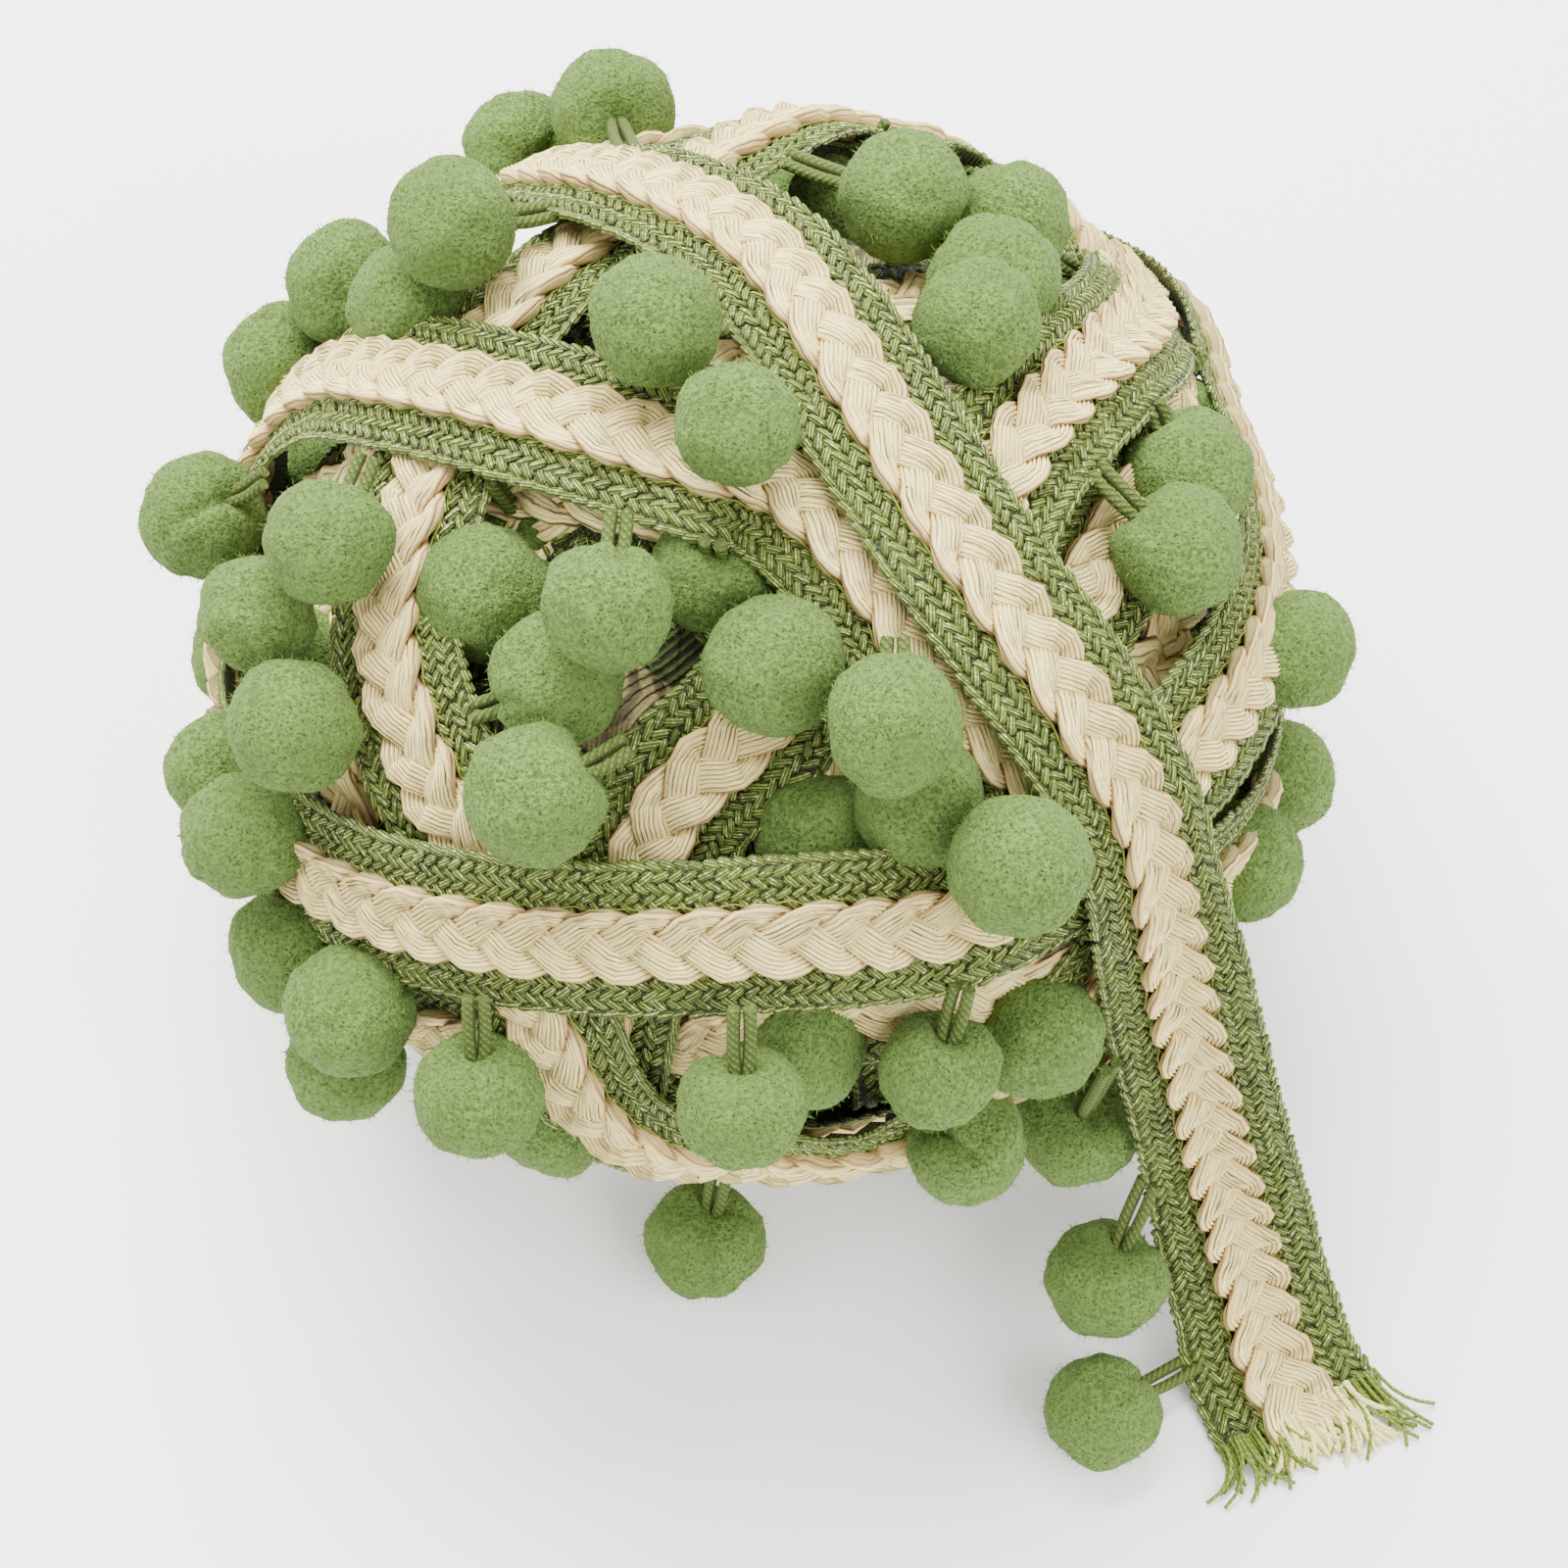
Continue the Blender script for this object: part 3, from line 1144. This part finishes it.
def stitch_shape():
    """One plump stitch along X, pointed at both ends, with a map along and round it."""
    half = STITCH_LENGTH / 2
    verts = [(-half, 0.0, 0.0)]
    uvs = [(0.0, 0.5)]
    for part, size in STITCH_RINGS:
        for side in range(STITCH_SIDES):
            angle = 2 * math.pi * side / STITCH_SIDES + math.pi / 2
            verts.append((part * STITCH_LENGTH, math.cos(angle) * STITCH_HALF_WIDTH * size,
                          math.sin(angle) * STITCH_HALF_HEIGHT * size))
            uvs.append((part + 0.5, 0.5 + 0.5 * math.cos(angle)))
    verts.append((half, 0.0, 0.0))
    uvs.append((1.0, 0.5))
    last = len(verts) - 1
    far = 1 + (len(STITCH_RINGS) - 1) * STITCH_SIDES
    sides = [(k, (k + 1) % STITCH_SIDES) for k in range(STITCH_SIDES)]
    faces = [(0, 1 + following, 1 + k) for k, following in sides]
    for start in range(1, far, STITCH_SIDES):
        beyond = start + STITCH_SIDES
        faces += [(start + k, start + following, beyond + following, beyond + k)
                  for k, following in sides]
    faces += [(far + k, far + following, last) for k, following in sides]
    return show("stitch_shape", new_mesh("stitch_shape", verts, faces, uvs))


def fibre_shape():
    """One loose fibre: a thin closed spike, one millimetre tall."""
    corners = (0.0, 2.094, 4.189)
    verts = [(FIBRE_RADIUS * math.cos(a), FIBRE_RADIUS * math.sin(a), 0.0) for a in corners]
    verts.append((0.0, 0.0, 1.0 * MM))
    faces = [(2, 1, 0), (0, 1, 3), (1, 2, 3), (2, 0, 3)]
    return show("fibre_shape", new_mesh("fibre_shape", verts, faces))


def lines_object(name, lines, closed=False):
    """Lines of points as one curve object."""
    curve = bpy.data.curves.new(name, "CURVE")
    curve.dimensions = "3D"
    for points in lines:
        spline = curve.splines.new("POLY")
        spline.points.add(len(points) - 1)
        spline.use_cyclic_u = closed
        for knot, point in zip(spline.points, points):
            knot.co = (*point, 1.0)
    return show(name, curve)


def strand_profile(name, settings, yarns, underside):
    """Cross-section of a flattened strand, with a ridge for each yarn on top."""
    half_width = 0.5 * settings.strand_width
    half_thick = 0.5 * settings.strand_thickness
    points = []
    count = 2 * yarns
    for k in range(count + 1):
        x = -1.0 + 2.0 * k / count
        crown = math.sqrt(max(1.0 - x * x, 0.0)) ** 0.8
        if 0 < k < count:
            crown += STRAND_RIDGE if k % 2 else -STRAND_RIDGE
        points.append((x * half_width, -crown * half_thick, 0.0))
    for k in range(1, underside + 1):
        x = 1.0 - 2.0 * k / (underside + 1)
        points.append((x * half_width, math.sqrt(1.0 - x * x) * half_thick, 0.0))
    return lines_object(name, [points], closed=True)


def tape_mesh(name, turn, settings):
    """The ground tape along a turn, a closed shell with a map in metres."""
    width = settings.trim_width - TAPE_INSET
    line, along, outward, breadth = (
        turn[key][::TAPE_SKIP] for key in ("line", "along", "outward", "breadth"))
    across = np.cross(outward, along) * breadth[:, None]
    travel = np.concatenate([[0.0], np.cumsum(np.linalg.norm(np.diff(line, axis=0), axis=1))])
    verts = []
    uvs = []
    for point, side, up, distance in zip(line, across, outward, travel):
        for y, z in TAPE_SECTION:
            verts.append(point + side * (y * width) + up * (z * settings.tape_thickness - TAPE_SINK))
            uvs.append((distance, y * width))
    size = len(TAPE_SECTION)
    faces = []
    for start in range(0, (len(line) - 1) * size, size):
        for k in range(size):
            following = (k + 1) % size
            faces.append((start + k, start + size + k, start + size + following, start + following))
    faces.append(tuple(range(size)))
    faces.append(tuple(reversed(range((len(line) - 1) * size, len(line) * size))))
    return new_mesh(name, verts, faces, uvs)


def nodes_named(start):
    """The frame's nodes whose names start so."""
    return [name for name in frame["nodes"] if name.startswith(start)]


def pompom_places():
    """Name, centre and radius of every pompom: those of the frame, then the buried ones."""
    places = []
    for name in sorted(nodes_named("pompom_")):
        low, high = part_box(name)
        places.append((name[len("pompom_"):], np.array((low + high) / 2), (high.z - low.z) / 2))
    for index, (*place, radius) in enumerate(BURIED_POMPOMS):
        places.append((f"buried_{index}", placed_at(*place), radius * MM))
    return places


def fringe_edges(turns, half):
    """Points along the pompom edge of every turn that is not buried."""
    return np.vstack([turn["line"] - np.cross(turn["outward"], turn["along"]) * half
                      for name, turn in turns.items() if not is_buried(name)])


def pompom_feet(turns, places):
    """Foot of each pompom's loop, or None where no edge is in reach."""
    edges = fringe_edges(turns, bpy.context.scene.trim_settings.trim_width / 2)
    feet = {}
    for name, centre, radius in places:
        if name in FEET_ON_BALL:
            feet[name] = placed_at(*FEET_ON_BALL[name])
        elif name in FEET_CLEAR:
            feet[name] = np.array(FEET_CLEAR[name]) * MM
        else:
            away = np.linalg.norm(edges - centre, axis=1)
            nearest = int(away.argmin())
            unseen = away[nearest] > LOOP_REACH or away[nearest] < radius * LOOP_CLEAR
            feet[name] = None if unseen else edges[nearest]
    return feet


def loop_line(foot, centre, radius, gap):
    """A hairpin from the strip's edge into the pompom and back."""
    way = (centre - foot) / np.linalg.norm(centre - foot)
    side = np.cross(way, UP)
    if np.linalg.norm(side) < 1e-4:
        side = np.array([1.0, 0.0, 0.0])
    side *= 0.5 * gap / np.linalg.norm(side)
    start = foot - way * LOOP_IN_EDGE
    tip = centre - way * radius * LOOP_IN_POMPOM
    middle = (start + tip) / 2 - UP * LOOP_SAG
    points = [start - side, middle - side * 1.08, tip - side * 0.7, tip + way * LOOP_BEND,
              tip + side * 0.7, middle + side * 1.08, start + side]
    return smooth_line(points, LOOP_STEPS)


def loose_ends(turn, rows, draw):
    """Lines of the cut yarns at a turn's end, in rows like those of GREEN_ENDS."""
    end = turn["line"][-1]
    along = turn["along"][-1]
    across = np.cross(turn["outward"][-1], along)
    lines = []
    for count, left, right, short, long, fan_left, fan_right in rows:
        for k in range(count):
            share = (k + draw.uniform(0.1, 0.9)) / count
            place = end + across * (left + (right - left) * share) * MM
            angle = math.radians(fan_left + (fan_right - fan_left) * share + draw.uniform(-9, 9))
            reach = draw.uniform(short, long) * MM
            curl = draw.uniform(-0.5, 0.5)
            rise = draw.uniform(0.6, 3.4) * MM
            points = []
            for step in range(LOOSE_STEPS + 1):
                t = step / LOOSE_STEPS
                turned = angle * t + curl * t * t
                ahead = along * math.cos(turned) + across * math.sin(turned)
                here = place - along * LOOSE_START + ahead * (reach + LOOSE_START) * t
                arch = LOOSE_ARCH * math.sin(3.0 * t) * draw.uniform(0.4, 1.0)
                height = rise + (LOOSE_TIP - rise) * t * t + arch
                points.append(here + UP * (max(height, LOOSE_LOWEST) - here[2]))
            lines.append(np.array(points))
    return lines


def core_lift(unit):
    """Lift of the core's surface, with a ridge for each inner turn."""
    level = (BALL_RADII * unit).dot(CORE_AXES[2]) / CORE_BAND
    across = abs(level % 1.0 - 0.5)
    return CORE_DEPTH + CORE_RIDGE * float(eased(across, 0.48, 0.34))


# ---------------------------------------------------------------- operators

class TRIM_OT_stage(bpy.types.Operator):
    """Lay a pale table top and set soft studio lights and the camera"""
    bl_idname = "trim.stage"
    bl_label = "Build Stage"

    def execute(self, context):
        corners = [(-1, -1), (1, -1), (1, 1), (-1, 1)]
        verts = [(x * TABLE_HALF, y * TABLE_HALF, -TABLE_DROP) for x, y in corners]
        mesh = new_mesh("table_top", verts, [(0, 1, 2, 3)])
        mesh.materials.append(floor_material())
        show("table_top", mesh)
        self.lights(context.scene)
        self.camera(context.scene)
        return {"FINISHED"}

    def lights(self, scene):
        for name, place, size, power in LIGHTS:
            light = bpy.data.lights.new("softbox_" + name, "AREA")
            light.shape = "SQUARE"
            light.size = size
            light.energy = power
            item = show("softbox_" + name, light)
            item.location = place
            item.rotation_euler = (LIGHT_TARGET - Vector(place)).to_track_quat("-Z", "Y").to_euler()
        world = bpy.data.worlds.new("studio")
        world.use_nodes = True
        back = world.node_tree.nodes["Background"]
        back.inputs["Color"].default_value = (1.0, 1.0, 1.0, 1.0)
        back.inputs["Strength"].default_value = WORLD_STRENGTH
        scene.world = world

    def camera(self, scene):
        lens = bpy.data.cameras.new("camera")
        lens.lens = CAMERA_LENS
        lens.sensor_width = CAMERA_SENSOR
        lens.clip_end = CAMERA_REACH
        item = show("camera", lens)
        item.location = CAMERA_PLACE
        item.rotation_euler = (CAMERA_TILT, 0.0, 0.0)
        scene.camera = item


class TRIM_OT_core(bpy.types.Operator):
    """Make the wound core that the turns lie on"""
    bl_idname = "trim.core"
    bl_label = "Build Core"

    def execute(self, context):
        settings = context.scene.trim_settings
        bm = bmesh.new()
        bmesh.ops.create_icosphere(bm, subdivisions=6, radius=1.0)
        for vert in bm.verts:
            unit = np.array(vert.co.normalized())
            point = form_point(unit, core_lift(unit))
            point[2] = max(point[2], CORE_LOWEST)
            vert.co = Vector(point)
        bmesh.ops.dissolve_degenerate(bm, dist=1e-6, edges=bm.edges)
        mesh = bpy.data.meshes.new("wound_core")
        bm.to_mesh(mesh)
        bm.free()
        mesh.shade_smooth()
        mesh.materials.append(core_material(settings.braid_colour, settings.plait_colour))
        finish_piece(show("wound_core", mesh), ["wound_ball"])
        return {"FINISHED"}


class TRIM_OT_tapes(bpy.types.Operator):
    """Lay the woven ground tape of every turn"""
    bl_idname = "trim.tapes"
    bl_label = "Build Ground Tapes"

    def execute(self, context):
        settings = context.scene.trim_settings
        turns = wind_turns()
        ground = ground_material(settings.braid_colour)
        groups = {name: [name] for name in turns if not is_buried(name)}
        groups["buried"] = [name for name in turns if is_buried(name)]
        for group, members in groups.items():
            meshes = [tape_mesh(member, turns[member], settings) for member in members]
            for mesh in meshes:
                mesh.materials.append(ground)
            piece = joined("tape_" + group, meshes)
            finish_piece(piece)
            held = "draped" if group == "free" else "folded"
        return {"FINISHED"}


class TRIM_OT_braids(bpy.types.Operator):
    """Stitch the green braids along both edges of every turn"""
    bl_idname = "trim.braids"
    bl_label = "Build Braids"

    def execute(self, context):
        settings = context.scene.trim_settings
        turns = wind_turns()
        tree = stitch_tree()
        stitch = stitch_shape()
        yarn = yarn_material(settings.braid_colour)
        outer = settings.trim_width / 2 - BRAID_INSET
        for group, members in groups_of(turns).items():
            name = "braid_" + group
            buried = is_buried(group)
            coarser = BURIED_COARSER if buried else 1.0
            columns = BURIED_COLUMNS if buried else settings.stitch_columns
            spacing = settings.column_spacing * coarser
            shared = {
                "Stitch": stitch, "Pitch": settings.stitch_pitch * coarser, "Columns": columns,
                "Column Spacing": spacing, "Inner Edge": outer - spacing * (columns - 1),
                "Slant": STITCH_SLANT, "Height": STITCH_HEIGHT, "Material": yarn}
            meshes = []
            for number, member in enumerate(members):
                meshes += grown_on(name, tree, turns[member], [
                    {**shared, "Side": side, "Seed": SEED + 10 * number + int(side)}
                    for side in (-1.0, 1.0)])
            finish_piece(joined(name, meshes), NODES_OF.get(name, []))
        remove(stitch)
        return {"FINISHED"}


class TRIM_OT_plaits(bpy.types.Operator):
    """Plait the cotton strands down the middle of every turn"""
    bl_idname = "trim.plaits"
    bl_label = "Build Plaits"

    def execute(self, context):
        settings = context.scene.trim_settings
        turns = wind_turns()
        tree = plait_tree()
        full = strand_profile("strand_full", settings, STRAND_YARNS, 3)
        plain = strand_profile("strand_plain", settings, 3, 2)
        cotton = cotton_material(settings.plait_colour)
        for group, members in groups_of(turns).items():
            name = "plait_" + group
            buried = is_buried(group)
            values = {
                "Profile": plain if buried else full, "Pitch": settings.lobe_pitch,
                "Sweep": settings.plait_sweep, "Lift": PLAIT_LIFT, "Height": PLAIT_HEIGHT,
                "Step": BURIED_STRAND_STEP if buried else STRAND_STEP, "Pinch": STRAND_PINCH,
                "Roll": STRAND_ROLL, "Material": cotton}
            meshes = []
            for member in members:
                meshes += grown_on(name, tree, turns[member], [values])
            finish_piece(joined(name, meshes), NODES_OF.get(name, []))
        remove(full, plain)
        return {"FINISHED"}


class TRIM_OT_bindings(bpy.types.Operator):
    """Run the fine green threads that bind the plait along both its edges"""
    bl_idname = "trim.bindings"
    bl_label = "Build Binding Threads"

    def execute(self, context):
        settings = context.scene.trim_settings
        turns = wind_turns()
        tree = binding_tree()
        shared = {
            "Pitch": settings.lobe_pitch, "Beside": settings.plait_sweep + BINDING_BESIDE,
            "Height": BINDING_HEIGHT, "Radius": BINDING_RADIUS,
            "Material": cord_material("braid_yarn_thread", THREAD_COLOUR, 2.0, 900.0, 0.25)}
        meshes = []
        for number, member in enumerate(BOUND_TURNS):
            meshes += grown_on("binding", tree, turns[member], [
                {**shared, "Side": side, "Seed": SEED + 2 * number + int(side > 0)}
                for side in (-1.0, 1.0)])
        finish_piece(joined("binding_threads", meshes))
        return {"FINISHED"}


class TRIM_OT_cut_end(bpy.types.Operator):
    """Fray the yarns at the cut end"""
    bl_idname = "trim.cut_end"
    bl_label = "Build Cut End"

    def execute(self, context):
        settings = context.scene.trim_settings
        turn = wind_turns()["free"]
        draw = np.random.default_rng(SEED)
        green = cord_material("braid_yarn_end", shade(settings.braid_colour, 1.5), 2.0, 900.0, 0.35)
        cotton = cord_material("plait_yarn_end", settings.plait_colour, 2.0, 700.0, 0.68)
        kinds = [("cut_end_green", "braid_yarn", GREEN_ENDS, GREEN_END_RADIUS, green),
                 ("cut_end_cotton", "plait_yarn", COTTON_ENDS, COTTON_END_RADIUS, cotton)]
        for name, slot, rows, radius, material in kinds:
            drawn = lines_object(name + "_lines", loose_ends(turn, rows, draw))
            piece = show(name, grown(name, cord_tree(), {
                "Lines": drawn, "Radius": radius, "Sides": 5, "Taper": 0.3, "Material": material}))
            remove(drawn)
            finish_piece(piece)
        return {"FINISHED"}


class TRIM_OT_pompoms(bpy.types.Operator):
    """Make the felted pompoms and their loose fibres"""
    bl_idname = "trim.pompoms"
    bl_label = "Build Pompoms"

    def execute(self, context):
        settings = context.scene.pompom_settings
        places = pompom_places()
        feet = pompom_feet(wind_turns(), places)
        mesh = bpy.data.meshes.new("pompom_places")
        mesh.from_pydata([tuple(centre) for _, centre, _ in places], [], [])
        mesh.attributes.new("way", "FLOAT_VECTOR", "POINT")
        mesh.attributes.new("size", "FLOAT", "POINT")
        for index, (name, centre, size) in enumerate(places):
            target = BALL_CENTRE if feet[name] is None else feet[name]
            mesh.attributes["way"].data[index].vector = Vector(target - centre).normalized()
            mesh.attributes["size"].data[index].value = size
        spots = show("pompom_places", mesh)
        body = show("felt_pompoms", grown("felt_pompoms", pompom_tree(), {
            "Places": spots, "Lumpiness": settings.lumpiness, "Dimple": POMPOM_DIMPLE,
            "Crease": POMPOM_CREASE, "Detail": POMPOM_DETAIL, "Seed": SEED,
            "Material": felt_material(settings.felt_colour)}))
        fibre = fibre_shape()
        fuzz = show("felt_fuzz", grown("felt_fuzz", fuzz_tree(), {
            "Felt": body, "Fibre": fibre, "Density": settings.fibre_density * CM2_IN_M2,
            "Length": settings.fibre_length, "Seed": SEED,
            "Material": fibre_material(settings.felt_colour)}))
        remove(spots, fibre)
        finish_piece(body, nodes_named("pompom_"))
        finish_piece(fuzz)
        return {"FINISHED"}


class TRIM_OT_loops(bpy.types.Operator):
    """Hang every pompom from its looped cord"""
    bl_idname = "trim.loops"
    bl_label = "Build Loops"

    def execute(self, context):
        settings = context.scene.pompom_settings
        places = pompom_places()
        feet = pompom_feet(wind_turns(), places)
        drawn = lines_object("loop_lines", [
            loop_line(feet[name], centre, radius, settings.leg_gap)
            for name, centre, radius in places if feet[name] is not None])
        piece = show("pompom_loops", grown("pompom_loops", cord_tree(), {
            "Lines": drawn, "Radius": settings.cord_radius, "Sides": 8, "Taper": 0.0,
            "Material": cord_material("braid_yarn_cord", LOOP_COLOUR, 4.0, 850.0, 0.40)}))
        remove(drawn)
        finish_piece(piece, nodes_named("loop_"))
        return {"FINISHED"}


class TRIM_PT_panel(bpy.types.Panel):
    """Lists the parts of the trim ball"""
    bl_idname = "TRIM_PT_panel"
    bl_label = "Pompom Fringe Trim"
    bl_space_type = "VIEW_3D"
    bl_region_type = "UI"
    bl_category = "Trim"

    def draw(self, context):
        for group in (context.scene.trim_settings, context.scene.pompom_settings):
            for key in group.__class__.__annotations__:
                self.layout.prop(group, key)
        for step in STEPS:
            self.layout.operator("trim." + step)


STEPS = ["stage", "core", "tapes", "braids", "plaits", "bindings", "cut_end", "pompoms", "loops"]
CLASSES = [
    TrimSettings, PompomSettings, TRIM_OT_stage, TRIM_OT_core, TRIM_OT_tapes, TRIM_OT_braids,
    TRIM_OT_plaits, TRIM_OT_bindings, TRIM_OT_cut_end, TRIM_OT_pompoms, TRIM_OT_loops, TRIM_PT_panel]


def register():
    for item in CLASSES:
        bpy.utils.register_class(item)
    bpy.types.Scene.trim_settings = bpy.props.PointerProperty(type=TrimSettings)
    bpy.types.Scene.pompom_settings = bpy.props.PointerProperty(type=PompomSettings)


def unregister():
    del bpy.types.Scene.pompom_settings
    del bpy.types.Scene.trim_settings
    for item in reversed(CLASSES):
        bpy.utils.unregister_class(item)


def main():
    register()
    for step in STEPS:
        getattr(bpy.ops.trim, step)()


if __name__ == "__main__":
    main()
